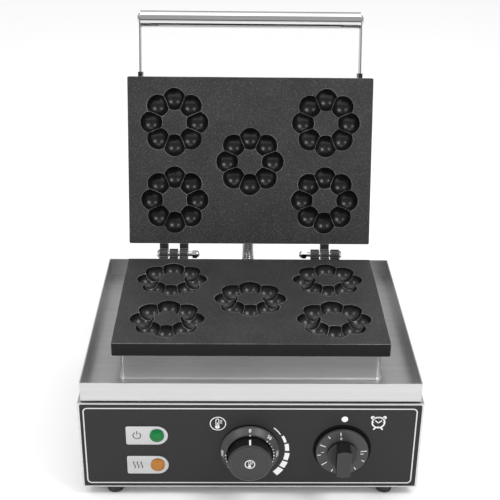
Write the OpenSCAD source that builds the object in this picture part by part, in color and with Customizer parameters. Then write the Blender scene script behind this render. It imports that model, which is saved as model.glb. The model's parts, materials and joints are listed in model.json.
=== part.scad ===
// Ball-ring donut maker: a table-top baking iron with two cast plates that close on each other.
// +X is to the right, +Y to the rear and +Z up. The origin lies on the table, at the middle of
// the model's overall width and depth. The lid is drawn open, leaning back against its stop.

/* [Body] */
// Width of the body box
box_w = 368; // [364:1:376]
// Depth of the body box
box_d = 308; // [304:1:316]
// Height of the body box without its feet
box_h = 110; // [108:1:118]
// Thickness of the stainless sheet
sheet = 1; // [0.8:0.1:1.2]
// Height of the rubber feet
foot_h = 12; // [10:1:14]
// Distance of the feet from the centre line
foot_x = 150; // [140:1:155]

/* [Drip tray] */
// Width across the tray's rim
tray_w = 362; // [350:1:362]
// Depth across the tray's rim
tray_d = 296; // [290:1:300]
// Height of the tray's walls
tray_h = 22; // [18:1:26]
// Distance from the body's front face to the tray's front wall
tray_setback = 2.7; // [2:0.1:6]
// Gap between the tray and the body box, on pressed dimples
tray_lift = 1.2; // [1:0.1:2]

/* [Cooking plates] */
// Width of a cooking plate
plate_w = 300; // [296:1:304]
// Depth of a cooking plate
plate_d = 205.4; // [203:0.2:208]
// Thickness of a cooking plate at its edge
plate_t = 15.4; // [15:0.2:17]
// Height of the lower cooking face above the body box
plate_rise = 51.6; // [50:0.2:56]
// Distance from the body's front face to the lower plate's front edge
plate_setback = 36.4; // [34:0.2:38]
// Gap between the two cooking faces when the lid is closed
plate_gap = 0.8; // [0.6:0.1:1.2]

/* [Donut moulds] */
// Radius of each ball of a ring
ball_r = 13.75; // [13:0.05:14]
// Radius of the circle on which the balls lie
ball_circle_r = 28.2; // [27:0.1:29]
// Number of balls in a ring
ball_count = 8; // [8:1:9]
// Distance between the outer rings, across the plate
ring_pitch_x = 186; // [180:1:190]
// Distance between the outer rings, front to back
ring_pitch_y = 95.6; // [94:0.2:98]

/* [Hinge and lid] */
// Angle by which the open lid leans back past upright
lid_lean = 15.7; // [12:0.1:20]
// Distance from the plates' rear edges to the hinge axis
hinge_setback = 13.2; // [12.5:0.1:14]
// Distance of a hinge's middle lug from the centre line
hinge_x = 94.5; // [90:0.5:100]
// Height of the lid's cover above its plate
cover_h = 36; // [35:1:40]
// Distance from the hinge axis to the handle bar, along the closed lid
handle_reach = 288; // [280:1:300]
// Diameter of the handle bar
handle_dia = 20.6; // [19:0.2:22]

/* [Controls] */
// Height of the knobs above the bottom of the body box
knob_z = 50; // [48:1:52]
// Distance of the temperature knob from the centre line
temperature_x = -1; // [-4:1:4]
// Distance of the timer knob from the centre line
timer_x = 99; // [95:1:105]
// Distance of the pilot lamps from the centre line
lamp_x = -100.8; // [-106:0.2:-96]
// Height of the upper lamp above the bottom of the body box
power_lamp_z = 69.6; // [66:0.2:74]
// Height of the lower lamp above the bottom of the body box
heat_lamp_z = 30.9; // [28:0.2:34]

/* [Hidden] */
$fn = 64;

box_z = foot_h;
box_top_z = foot_h + box_h;
tray_sheet = 0.8;
tray_wall = 1.2;
tray_z = box_top_z + tray_lift;
floor_z = tray_z + tray_sheet;
tray_y = tray_setback + tray_d / 2;
plate_top_z = box_top_z + plate_rise;
plate_back_y = plate_setback + plate_d;
plate_mid_y = plate_setback + plate_d / 2;
axis_y = plate_back_y + hinge_setback;
axis_z = plate_top_z + plate_gap / 2;
open_angle = 90 + lid_lean;

overhang = 8.5;
housing_w = plate_w - 2 * overhang;
housing_d = plate_d - 2 * overhang;
housing_r = 4;
pillar_h = plate_rise - tray_lift - tray_sheet;
skirt_h = pillar_h - plate_t;
skirt_back_y = plate_back_y - overhang;
cover_top = plate_gap / 2 + plate_t + cover_h;
cover_front = hinge_setback + plate_d - overhang;
cover_back = hinge_setback + overhang;
lid_mid_y = -hinge_setback - plate_d / 2;

knob_face = 27;
handle_z = 31;
rear_y = axis_y + handle_reach * sin(lid_lean) + handle_z * cos(lid_lean) + handle_dia / 2;
mid_y = (rear_y - knob_face) / 2;

plate_corner_r = 2;
pad_t = 8;
pad_w = 262;
pad_d = 168;
heater_r = 4;
heater_z = -plate_t - pad_t;
heater_half = 100;
heater_bend_r = 20;
heater_tail = 12;
heater_elbow_r = 9;
heater_pin = 6;
heater_pin_z = heater_z - heater_elbow_r - heater_pin;
heater_pin_x = -heater_half - heater_tail - heater_elbow_r;
clamp_t = 2;
clamp_z = heater_z - heater_r - clamp_t;
wool_t = 13;
wool_z = clamp_z - wool_t;
post_x = 122;
post_y = 76;
post_af = 9;
post_r = 2.5;
post_neck_r = 3.6;
shoulder_r = 4.4;
bulb_r = 3;
bulb_length = 80;
bulb_z = -plate_t - 3.5;
capillary_r = 0.8;

barrel_r = 6.5;
lug_w = 10.6;
lug_pitch = 12.5;
lug_web_h = 11;
pin_r = 3;
pin_fit = 0.05;
bolt_head_t = 3.3;
bolt_end_gap = 0.5;
bolt_shank_free = 5.4;
nut_t = 5.6;
heel_gap = 0.3;

arm_x = 136.2;
arm_t = 1.6;
arm_root_w = 20;
arm_tip_r = 7;
clip_w = 4.9;
clip_out = 14;
clip_h = 22;
clip_ear = 18;
clip_ear_t = 1.6;
clip_screw_x = 12;
clip_screw_z = 6;
clip_pin_y = 8;
clip_pin_r = 1.5;
tube_wall = 1.2;
tube_half = arm_x - arm_t / 2;

overlay_w = 364;
overlay_h = 106;
overlay_t = 0.5;
shaft_r = 3;
bezel_r = 32;
bezel_rim_r = 27;
bezel_bore_r = 25;
bezel_t = 9.5;
grip_r = 23.4;
grip_face = 25.5;
dial_r = 28.5;
dial_back = 1;
dial_face = 5.5;
hub_r = 16.2;
hub_face = 10;
bar_w = 14.8;
bar_r = 16.4;
switch_back = 40;
switch_tab = 6;
switch_screw_x = 14;
lamp_hole_r = 6;
lens_r = 7.8;
label_r = 11.7;
label_left = 33.2;
label_t = 0.8;

conduit_x = -1.5;
conduit_r = 7.5;
conduit_bore_r = 6;
conduit_lid_z = 28;
gland_af = 20;
gland_t = 8;
gland_neck_r = 8.4;

inlet_x = -120;
inlet_z = 36;
inlet_r = 8;
wire_r = 1.4;
slim_wire_r = 1.3;
corner_bead = 1.04;
terminal_y = 240;
terminal_top = 34;
floor_flange = 10;
foot_y = 13;
cable_hole_x = 120;

tab_z = box_z + knob_z - 11;
timer_tab_z = box_z + knob_z - 14;
tie_z = box_z + 24;
gland_inner_y = box_d - 10;
lamp_tab_y = 31;
tab_y = switch_back + switch_tab;
lead_z = floor_z + 5;
pin_end_z = plate_top_z + heater_pin_z;

conduit_turn = 90 - lid_lean;
conduit_from_y = skirt_back_y + gland_t + 1;
conduit_into_y = axis_y + (cover_back - gland_t - 1) * sin(lid_lean) + conduit_lid_z * cos(lid_lean);
conduit_into_z = axis_z + (cover_back - gland_t - 1) * cos(lid_lean) - conduit_lid_z * sin(lid_lean);
conduit_bend_r = (conduit_into_y - conduit_from_y) / sin(conduit_turn);
conduit_from_z = conduit_into_z - conduit_bend_r * (1 - cos(conduit_turn));

steel_grey = [0.72, 0.73, 0.74];
coating_black = [0.2, 0.2, 0.21];
panel_black = [0.13, 0.13, 0.14];

// Placement ---------------------------------------------------------------------------

// The whole model is centred front to back over its own depth.
module in_frame() {
    translate([0, -mid_y, 0]) children();
}

// Children are drawn on the closed lid, from the hinge axis: -Y forward, +Z up.
module on_lid() {
    in_frame() translate([0, axis_y, axis_z]) rotate([-open_angle, 0, 0]) children();
}

// Children are drawn from the rear edge of the lower cooking face.
module on_lower_plate() {
    in_frame() translate([0, plate_back_y, plate_top_z]) children();
}

// The upper casting and what it carries are the lower ones turned over.
module on_upper_plate() {
    on_lid() translate([0, -hinge_setback, plate_gap / 2]) mirror([0, 0, 1]) children();
}

// Children are drawn at a point of the front panel with +Z pointing out to the cook.
module on_panel(x, z) {
    in_frame() translate([x, 0, box_z + z]) rotate([90, 0, 0]) children();
}

// Shared shapes ------------------------------------------------------------------------

module rounded_rect(w, d, r) {
    square([w - 2 * r, d], center = true);
    square([w, d - 2 * r], center = true);
    for (x = [-1, 1], y = [-1, 1])
        translate([x * (w / 2 - r), y * (d / 2 - r)]) circle(r);
}

module rounded_block(w, d, h, r) {
    linear_extrude(h) rounded_rect(w, d, r);
}

module sheet_wall(w, d, h, r, t) {
    difference() {
        rounded_block(w, d, h, r);
        translate([0, 0, -1]) rounded_block(w - 2 * t, d - 2 * t, h + 2, r - t);
    }
}

module box_at(low, high) {
    translate(low) cube(high - low);
}

module hexagon(af, h) {
    cylinder(r = af / 2 / cos(30), h = h, $fn = 6);
}

module along_x(x) {
    translate([x, 0, 0]) rotate([0, 90, 0]) children();
}

// A dome of the given radius and height, flat side on the ground.
module dome(r, h) {
    ball = (r * r + h * h) / (2 * h);
    intersection() {
        translate([0, 0, h - ball]) sphere(ball);
        cylinder(r = r + 1, h = h + 1);
    }
}

// A screw that points down, with its domed head standing on the ground plane.
module screw(head_r, head_t, shank_r, length) {
    dome(head_r, head_t);
    translate([0, 0, -length]) cylinder(r = shank_r, h = length);
}

// An insulated wire through a list of points, with a slightly fuller bead at each corner.
module wire(points, r = wire_r) {
    for (i = [0:len(points) - 2]) {
        run = points[i + 1] - points[i];
        reach = norm(run);
        translate(points[i])
            rotate([0, acos(run[2] / reach), atan2(run[1], run[0])])
                cylinder(r = r, h = reach, $fn = 24);
        if (i > 0)
            translate(points[i]) sphere(r * corner_bead, $fn = 24);
    }
}

// Children are repeated at the four posts that hold a plate's stack together.
module at_posts() {
    for (x = [-1, 1], y = [-1, 1])
        translate([x * post_x, -plate_d / 2 + y * post_y, 0]) children();
}

// Cooking plates -----------------------------------------------------------------------

module ring_mould() {
    for (i = [0:ball_count - 1])
        rotate([0, 0, 90 + i * 360 / ball_count]) translate([ball_circle_r, 0, 0]) sphere(ball_r);
}

module at_rings() {
    translate([0, -plate_d / 2, 0]) {
        children();
        for (x = [-1, 1], y = [-1, 1])
            translate([x * ring_pitch_x / 2, y * ring_pitch_y / 2, 0]) children();
    }
}

module heater_run(length, r) {
    along_x(-length / 2) cylinder(r = r, h = length);
}

module heater_bend(r, side) {
    rotate([0, 0, side > 0 ? -90 : 90])
        rotate_extrude(angle = 180) translate([heater_bend_r, 0]) circle(r, $fn = 32);
}

// The tube lies in four runs across the plate, joined by three bends.
module heater_path(r) {
    translate([0, -plate_d / 2, heater_z]) {
        for (row = [-1.5, -0.5, 0.5, 1.5])
            translate([0, row * 2 * heater_bend_r, 0]) heater_run(2 * heater_half, r);
        for (row = [-1, 1])
            translate([heater_half, row * 2 * heater_bend_r, 0]) heater_bend(r, 1);
        translate([-heater_half, 0, 0]) heater_bend(r, -1);
        for (row = [-1.5, 1.5])
            translate([-heater_half - heater_tail / 2, row * 2 * heater_bend_r, 0])
                heater_run(heater_tail, r);
    }
}

module hinge_lug(x) {
    translate([x, 0, 0]) {
        translate([0, hinge_setback, plate_gap / 2])
            along_x(-lug_w / 2) cylinder(r = barrel_r, h = lug_w);
        box_at([-lug_w / 2, -1, -lug_web_h], [lug_w / 2, hinge_setback, -plate_gap / 2]);
    }
}

// The lid's lugs end in a heel that meets the lower plate's rear edge when the lid is open.
module lid_heel(x) {
    translate([x, hinge_setback, plate_gap / 2]) rotate([-open_angle, 0, 0])
        box_at([-lug_w / 2, -hinge_setback + heel_gap, 1], [lug_w / 2, 0, 6]);
}

module plate_casting(lugs, has_heels) {
    difference() {
        union() {
            translate([0, -plate_d / 2, -plate_t])
                rounded_block(plate_w, plate_d, plate_t, plate_corner_r);
            translate([0, -plate_d / 2, -plate_t - pad_t])
                rounded_block(pad_w, pad_d, pad_t + 1, 6);
            for (x = lugs) {
                hinge_lug(x);
                if (has_heels) lid_heel(x);
            }
        }
        at_rings() ring_mould();
        heater_path(heater_r);
        heater_slots(-heater_half - heater_tail, heater_z + heater_r);
        translate([0, hinge_setback, plate_gap / 2])
            along_x(-plate_w / 2) cylinder(r = pin_r + pin_fit, h = plate_w);
        at_posts() translate([0, 0, -plate_t - pad_t - 1]) cylinder(r = post_r, h = 8);
    }
}

module lower_plate() {
    color(coating_black) on_lower_plate() difference() {
        plate_casting([-hinge_x, hinge_x - lug_pitch, hinge_x + lug_pitch], false);
        translate([0, -plate_d / 2, bulb_z]) along_x(-bulb_length / 2 - 5)
            cylinder(r = bulb_r + 0.1, h = plate_w);
    }
}

module upper_plate() {
    color(coating_black) on_upper_plate()
        plate_casting([-hinge_x - lug_pitch, lug_pitch - hinge_x, hinge_x], true);
}

// Heater stack, drawn under a plate ------------------------------------------------------

module heater_element() {
    heater_path(heater_r);
    for (row = [-1.5, 1.5])
        translate([-heater_half - heater_tail, -plate_d / 2 + row * 2 * heater_bend_r, heater_z]) {
            translate([0, 0, -heater_elbow_r]) rotate([90, 0, 0]) rotate([0, 0, 90])
                rotate_extrude(angle = 90) translate([heater_elbow_r, 0]) circle(heater_r, $fn = 32);
            translate([-heater_elbow_r, 0, -heater_elbow_r - heater_pin])
                cylinder(r = 2, h = heater_pin);
        }
}

module post_holes(r) {
    at_posts() translate([0, 0, -plate_rise]) cylinder(r = r, h = plate_rise);
}

module clamp_plate() {
    difference() {
        translate([0, -plate_d / 2, clamp_z]) rounded_block(pad_w - 14, pad_d - 4, clamp_t, 6);
        post_holes(post_neck_r);
        heater_slots(-heater_half - 3, 0);
    }
}

// Openings at the left edge, in which the heater's ends turn away from the plate.
module heater_slots(inner_x, top) {
    for (row = [-1.5, 1.5])
        translate([0, -plate_d / 2 + row * 2 * heater_bend_r, 0])
            box_at([-plate_w / 2, -heater_r - 1.5, -plate_rise], [inner_x, heater_r + 1.5, top]);
}

module insulation_mat() {
    difference() {
        translate([0, -plate_d / 2, wool_z]) rounded_block(pad_w, pad_d, wool_t, 6);
        post_holes(post_neck_r + 1.6);
        heater_slots(-heater_half - 3, 0);
    }
}

module lower_heater() {
    color(steel_grey) on_lower_plate() heater_element();
}

module upper_heater() {
    color(steel_grey) on_upper_plate() heater_element();
}

module lower_clamp_plate() {
    color("silver") on_lower_plate() clamp_plate();
}

module upper_clamp_plate() {
    color("silver") on_upper_plate() clamp_plate();
}

module lower_insulation() {
    color("ivory") on_lower_plate() insulation_mat();
}

module upper_insulation() {
    color("ivory") on_upper_plate() insulation_mat();
}

// Hexagonal pillars carry the lower plate on the tray. Their shoulders press the clamp plate up,
// their necks pass through it, and their studs run up into the casting.
module lower_pillars() {
    color("silver") on_lower_plate() at_posts() difference() {
        union() {
            translate([0, 0, -pillar_h]) hexagon(post_af, pillar_h + clamp_z);
            translate([0, 0, clamp_z]) cylinder(r = post_neck_r, h = -plate_t - pad_t - clamp_z);
            translate([0, 0, -plate_t - pad_t]) cylinder(r = post_r, h = 6.5);
        }
        translate([0, 0, -pillar_h - 1]) cylinder(r = post_r, h = 10);
    }
}

module pillar_screws() {
    color("silver") on_lower_plate() at_posts() translate([0, 0, -pillar_h - tray_sheet])
        rotate([180, 0, 0]) screw(4.5, 2.2, post_r - 0.05, 9);
}

// Thermostat -----------------------------------------------------------------------------

// A bulb in the lower plate and its capillary down to the thermostat behind the panel.
module thermostat_sensor() {
    sense_z = plate_top_z + bulb_z;
    side_x = (pad_w + housing_w) / 4;
    shelf_z = box_z + 90;
    tail_x = temperature_x + 5;
    color("goldenrod") in_frame() {
        translate([0, plate_mid_y, sense_z]) along_x(-bulb_length / 2)
            cylinder(r = bulb_r, h = bulb_length);
        wire([[bulb_length / 2, plate_mid_y, sense_z], [side_x, plate_mid_y, sense_z],
            [side_x, plate_mid_y, floor_z + 4], [cable_hole_x, plate_mid_y, floor_z + 4],
            [cable_hole_x, plate_mid_y, shelf_z], [tail_x, 60, shelf_z], [tail_x, 30, shelf_z],
            [tail_x, 30, box_z + knob_z + 22]], capillary_r);
    }
}

// A switch body with its threaded neck through the panel and a bore for its shaft.
module switch_body(w, h) {
    difference() {
        union() {
            translate([0, 0, -switch_back]) linear_extrude(switch_back - sheet)
                rounded_rect(w, h, 3);
            translate([0, 0, -sheet - 1]) cylinder(r = 5, h = sheet + 0.6);
        }
        translate([0, 0, -switch_back + 6]) cylinder(r = shaft_r + pin_fit, h = switch_back);
        for (side = [-1, 1])
            translate([side * switch_screw_x, 0, -6]) cylinder(r = 1.9, h = 10);
    }
    for (x = [-1, 0, 1])
        translate([x * w / 4, -h / 4, -switch_back - switch_tab]) linear_extrude(switch_tab + 0.1)
            square([6.3, 0.8], center = true);
}

module thermostat_body() {
    color("dimgray") on_panel(temperature_x, knob_z) switch_body(46, 44);
}

module timer_body() {
    color("whitesmoke") on_panel(timer_x, knob_z) switch_body(56, 56);
}

module switch_screws() {
    color("silver") for (x = [temperature_x, timer_x])
        on_panel(x, knob_z) for (side = [-1, 1])
            translate([side * switch_screw_x, 0, 0]) screw(3, 0.45, 1.85, 5);
}

module control_shaft() {
    translate([0, 0, -switch_back + 7]) cylinder(r = shaft_r, h = switch_back + 9);
}

module thermostat_shaft() {
    color("silver") on_panel(temperature_x, knob_z) control_shaft();
}

module timer_shaft() {
    color("silver") on_panel(timer_x, knob_z) control_shaft();
}

// Knobs ------------------------------------------------------------------------------------

// Fixed scale ring: a shallow funnel that carries the temperature figures round the grip.
module temperature_bezel() {
    color("dimgray") on_panel(temperature_x, knob_z) translate([0, 0, overlay_t])
        rotate_extrude() polygon([[8, 0], [bezel_r, 0], [bezel_r, 2.5], [bezel_rim_r, bezel_t],
            [bezel_bore_r, bezel_t], [bezel_bore_r, 1.5], [8, 1.5]]);
}

module temperature_grip() {
    skirt = overlay_t + 1.5 + 0.5;
    color("dimgray") on_panel(temperature_x, knob_z) difference() {
        union() {
            translate([0, 0, skirt]) cylinder(r = grip_r, h = grip_face - 2 - skirt);
            translate([0, 0, grip_face - 2]) cylinder(r1 = grip_r, r2 = grip_r - 2, h = 1.4);
            translate([0, 0, grip_face - 0.7])
                difference() {
                    cylinder(r = grip_r - 2, h = 0.7);
                    translate([0, 0, 0.2]) cylinder(r = grip_r - 3.2, h = 1);
                }
            translate([0, 0, grip_face - 0.7]) cylinder(r = 9, h = 0.7);
        }
        translate([0, 0, -1]) cylinder(r = shaft_r, h = 17);
    }
}

// Rotating scale disc of the timer.
module timer_dial() {
    color("gray") on_panel(timer_x, knob_z) difference() {
        union() {
            translate([0, 0, dial_back]) cylinder(r = dial_r, h = dial_face - dial_back - 0.8);
            translate([0, 0, dial_face - 0.8]) cylinder(r1 = dial_r, r2 = dial_r - 0.8, h = 0.8);
        }
        cylinder(r = shaft_r, h = dial_face + 1);
    }
}

module timer_grip() {
    color("dimgray") on_panel(timer_x, knob_z) difference() {
        union() {
            translate([0, 0, dial_face]) cylinder(r = hub_r, h = hub_face - dial_face);
            intersection() {
                translate([0, 0, dial_face]) cylinder(r = bar_r, h = knob_face - dial_face);
                translate([-bar_w / 2, -bar_r, dial_face]) cube([bar_w, 2 * bar_r, knob_face - dial_face]);
            }
        }
        cylinder(r = shaft_r, h = 16);
    }
}

// Pilot lamps --------------------------------------------------------------------------------

module lamp_label() {
    translate([0, 0, overlay_t]) linear_extrude(label_t) difference() {
        union() {
            circle(label_r);
            translate([-label_left + 2, -label_r]) square([label_left - 2, 2 * label_r]);
            translate([-label_left, -label_r + 2]) square([3, 2 * label_r - 4]);
            for (y = [-1, 1])
                translate([-label_left + 2, y * (label_r - 2)]) circle(2);
        }
        circle(lamp_hole_r);
    }
}

module lamp_lens() {
    translate([0, 0, overlay_t + label_t]) {
        cylinder(r = lens_r, h = 1.2);
        translate([0, 0, 1.2]) dome(lens_r, 2);
    }
}

module lamp_body() {
    translate([0, 0, -26]) cylinder(r = lamp_hole_r - 0.2, h = 26 + overlay_t + label_t);
    translate([0, 0, -sheet - 4]) hexagon(15, 4);
    for (x = [-1, 1])
        translate([x * 2.5, 0, -31]) linear_extrude(5.1) square([0.8, 4.8], center = true);
}

module power_label() {
    color("silver") on_panel(lamp_x, power_lamp_z) lamp_label();
}

module heat_label() {
    color("silver") on_panel(lamp_x, heat_lamp_z) lamp_label();
}

module power_lens() {
    color([0.05, 0.55, 0.3]) on_panel(lamp_x, power_lamp_z) lamp_lens();
}

module heat_lens() {
    color([0.8, 0.5, 0.2]) on_panel(lamp_x, heat_lamp_z) lamp_lens();
}

module lamp_bodies() {
    color("ivory") for (z = [power_lamp_z, heat_lamp_z]) on_panel(lamp_x, z) lamp_body();
}

// Body -----------------------------------------------------------------------------------------

// Holes for the two switches and the two lamps, through everything at the front face.
module panel_holes(screw_hole_r) {
    h = 8;
    for (x = [temperature_x, timer_x])
        on_panel(x, knob_z) {
            translate([0, 0, -h / 2]) cylinder(r = 5.1, h = h);
            for (side = [-1, 1])
                translate([side * switch_screw_x, 0, -h / 2]) cylinder(r = screw_hole_r, h = h);
        }
    for (z = [power_lamp_z, heat_lamp_z])
        on_panel(lamp_x, z) translate([0, 0, -h / 2]) cylinder(r = lamp_hole_r, h = h);
}

module front_panel() {
    color(steel_grey) difference() {
        in_frame() {
            box_at([-box_w / 2, 0, box_z], [box_w / 2, sheet, box_top_z]);
            box_at([-box_w / 2, 0, box_top_z - sheet], [box_w / 2, floor_flange, box_top_z]);
            box_at([-box_w / 2 + sheet, 0, box_z],
                [box_w / 2 - sheet, floor_flange, box_z + sheet]);
        }
        panel_holes(1.9);
        in_frame() bottom_screw_holes();
    }
}

module panel_overlay() {
    color(panel_black) difference() {
        on_panel(0, box_h / 2) rounded_block(overlay_w, overlay_h, overlay_t, 1.5);
        panel_holes(3.2);
    }
}

// Left, rear and right walls in one sheet, with a dimpled seat for the tray and a floor flange.
module body_shell() {
    color(steel_grey) in_frame() {
        shell_sheet();
        for (side = [-1, 1], y = [0.15, 0.5, 0.85])
            translate([side * (box_w / 2 - 16), y * box_d, box_top_z - sheet / 2])
                cylinder(r = 5, h = tray_lift + sheet / 2);
    }
}

module shell_sheet() {
    seat = 30;
    half_w = box_w / 2;
    slot_pitch = 10;
    difference() {
        box_at([-half_w, sheet, box_z], [half_w, box_d, box_top_z]);
        box_at([-half_w + sheet, -1, box_z + sheet],
            [half_w - sheet, box_d - sheet, box_top_z - sheet]);
        box_at([-half_w + seat, -1, box_z + box_h / 2],
            [half_w - seat, box_d - seat, box_top_z + 1]);
        box_at([-half_w + floor_flange, -1, box_z - 1],
            [half_w - floor_flange, box_d - floor_flange, box_z + box_h / 2]);
        box_at([-half_w - 1, -1, box_top_z - sheet], [half_w + 1, floor_flange, box_top_z + 1]);
        box_at([-half_w + sheet, -1, box_z - 1], [half_w - sheet, floor_flange, box_z + sheet]);
        for (i = [-3:3])
            translate([65 + i * slot_pitch, box_d, box_z + 30]) box_at([-2, -2, 0], [2, 1, 40]);
        for (side = [-1, 1], i = [-3:3])
            translate([side * half_w, box_d / 2 + i * slot_pitch, box_z + 25])
                box_at([-2, -2, 0], [2, 2, 35]);
        translate([inlet_x, box_d + 1, box_z + inlet_z]) rotate([90, 0, 0])
            cylinder(r = inlet_r, h = 5);
        bottom_screw_holes();
    }
}

module bottom_plate() {
    color(steel_grey) in_frame() difference() {
        box_at([-box_w / 2 + 2, 2, box_z - sheet], [box_w / 2 - 2, box_d - 2, box_z]);
        for (i = [-5:5])
            translate([i * 12, box_d / 2, box_z]) box_at([-2.5, -40, -2], [2.5, 40, 1]);
        at_feet() translate([0, 0, box_z - 5]) cylinder(r = 2.2, h = 10);
        bottom_screw_holes();
    }
}

module at_feet() {
    for (x = [-foot_x, foot_x], y = [foot_y, box_d - foot_y])
        translate([x, y, 0]) children();
}

module at_bottom_screws() {
    for (side = [-1, 1]) {
        for (y = [0.25, 0.5, 0.75])
            translate([side * (box_w - floor_flange) / 2, y * box_d, box_z]) children();
        for (y = [floor_flange / 2, box_d - floor_flange / 2])
            translate([side * box_w / 4, y, box_z]) children();
    }
}

module bottom_screw_holes() {
    at_bottom_screws() translate([0, 0, -5]) cylinder(r = 1.8, h = 10);
}

module bottom_screws() {
    color("silver") in_frame() at_bottom_screws()
        translate([0, 0, -sheet]) rotate([180, 0, 0]) screw(3.4, 1.8, 1.75, 6);
}

module rubber_feet() {
    tread_h = 4;
    rim_r = 10.5;
    tread_r = 6.5;
    color([0.08, 0.08, 0.08]) in_frame() at_feet() difference() {
        rotate_extrude() polygon([[0, 0], [tread_r, 0], [tread_r + 2, 1], [rim_r - 0.8, tread_h + 3],
            [rim_r, foot_h - sheet - 2], [rim_r, foot_h - sheet], [0, foot_h - sheet]]);
        translate([0, 0, -1]) cylinder(r = 4.6, h = 4);
        translate([0, 0, 2]) cylinder(r = 2.2, h = foot_h);
    }
}

module foot_screws() {
    color("silver") in_frame() at_feet()
        translate([0, 0, 3]) rotate([180, 0, 0]) screw(4.2, 2, 2, foot_h + 2);
}

// Drip tray, plate skirt ---------------------------------------------------------------------

module at_cable_holes() {
    for (side = [-1, 1])
        translate([side * cable_hole_x, plate_mid_y, tray_z]) children();
}

module drip_tray() {
    color(steel_grey) in_frame() difference() {
        union() {
            translate([0, tray_y, tray_z]) rounded_block(tray_w, tray_d, tray_sheet, 1.5);
            translate([0, tray_y, tray_z]) sheet_wall(tray_w, tray_d, tray_h, 1.5, tray_wall);
        }
        at_cable_holes() translate([0, 0, -1]) cylinder(r = 9, h = 3);
        translate([0, plate_back_y, tray_z]) at_posts()
            translate([0, 0, -1]) cylinder(r = post_r, h = 3);
    }
}

// Rubber rings that line the tray's two cable holes.
module tray_grommets() {
    color([0.6, 0.15, 0.1]) in_frame() at_cable_holes()
        rotate_extrude() polygon([[6.5, -2], [11, -2], [11, 0], [9, 0], [9, tray_sheet],
            [11, tray_sheet], [11, tray_sheet + 2], [6.5, tray_sheet + 2]]);
}

module plate_skirt() {
    flange = 2.2;
    color(steel_grey) in_frame() difference() {
        translate([0, plate_mid_y, floor_z]) {
            sheet_wall(housing_w, housing_d, skirt_h, housing_r, sheet);
            sheet_wall(housing_w + 2 * flange, housing_d + 2 * flange, sheet, housing_r + flange, flange + 0.5);
        }
        translate([conduit_x, plate_back_y, conduit_from_z]) rotate([90, 0, 0])
            cylinder(r = conduit_r + 0.5, h = 20);
    }
}

// Conduit between the body and the lid ---------------------------------------------------------

module conduit_bend(r) {
    rotate_extrude(angle = conduit_turn) translate([conduit_bend_r, 0]) circle(r);
}

// One bend, from the skirt's gland rearwards and up into the lid's gland.
module conduit() {
    color("silver") in_frame()
        translate([conduit_x, conduit_from_y, conduit_from_z + conduit_bend_r]) rotate([0, 90, 0])
            difference() {
                conduit_bend(conduit_r);
                conduit_bend(conduit_bore_r);
            }
}

// A compression gland: neck through the sheet, hexagon outside and lock nut inside.
module conduit_gland() {
    difference() {
        union() {
            hexagon(gland_af, gland_t - 2);
            cylinder(r = gland_af / 2, h = gland_t);
            translate([0, 0, gland_t]) cylinder(r = gland_neck_r, h = 1);
            translate([0, 0, -5]) cylinder(r = conduit_r + 0.4, h = 6);
            translate([0, 0, -sheet - 3]) hexagon(gland_af, 3);
        }
        translate([0, 0, -6]) cylinder(r = conduit_bore_r, h = 30);
    }
}

module body_gland() {
    color("silver") in_frame()
        translate([conduit_x, skirt_back_y, conduit_from_z]) rotate([-90, 0, 0])
            conduit_gland();
}

module lid_gland() {
    color("silver") on_lid() translate([conduit_x, -cover_back, conduit_lid_z])
        rotate([-90, 0, 0]) conduit_gland();
}

// Lid ------------------------------------------------------------------------------------------

module upper_cover() {
    color(steel_grey) on_lid() difference() {
        translate([0, lid_mid_y, plate_gap / 2 + plate_t]) difference() {
            rounded_block(housing_w, housing_d, cover_h, housing_r);
            translate([0, 0, -1])
                rounded_block(housing_w - 2 * sheet, housing_d - 2 * sheet, cover_h + 1 - sheet, housing_r - sheet);
        }
        translate([conduit_x, -cover_back + 5, conduit_lid_z]) rotate([90, 0, 0])
            cylinder(r = conduit_r + 0.5, h = 10);
        translate([0, -hinge_setback, cover_top - 5]) at_posts() cylinder(r = shoulder_r + 0.1, h = 10);
        at_clip_screws() translate([0, 0, -3]) cylinder(r = 1.8, h = 6);
    }
}

// Shoulder screws: each holds the cover by its head and the clamp plate by its shoulder.
module cover_screws() {
    shoulder = cover_top - plate_gap / 2 + clamp_z;
    color("silver") on_lid() translate([0, -hinge_setback, cover_top]) at_posts() {
        screw(6.4, 2.6, shoulder_r, shoulder);
        translate([0, 0, -shoulder - 12]) cylinder(r = post_r - 0.05, h = 13);
    }
}

// Two leads from the upper heater's pins, under the cover, into the conduit.
module lid_leads() {
    lead_pitch = 3.4;
    end_y = -cover_back - 7.3;
    color("white") on_lid() for (i = [0, 1]) {
        lead_y = lid_mid_y + (i - 0.5) * 6 * heater_bend_r;
        top_z = cover_top - sheet - 2.5 - i * lead_pitch;
        side_x = heater_pin_x - 11 - i * lead_pitch;
        end_x = conduit_x + 3 - i * 6;
        wire([[heater_pin_x, lead_y, plate_gap / 2 - heater_pin_z], [heater_pin_x, lead_y, top_z],
            [side_x, lead_y, top_z], [side_x, end_y, top_z], [end_x, end_y, top_z],
            [end_x, end_y, conduit_lid_z], [end_x, -cover_back, conduit_lid_z]]);
    }
}

// Hinge bolts ------------------------------------------------------------------------------------

// A round-headed bolt that lies along a hinge, with its head outwards on the given side.
module hinge_bolt(side) {
    head_x = hinge_x + lug_pitch + lug_w / 2 + bolt_end_gap;
    length = 2 * lug_pitch + lug_w + bolt_end_gap + bolt_shank_free + nut_t;
    mirror([side < 0 ? 0 : 1, 0, 0]) translate([-head_x, 0, 0]) rotate([0, 90, 0]) {
        rotate([180, 0, 0]) dome(5.6, bolt_head_t);
        cylinder(r = pin_r, h = length);
    }
}

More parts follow.
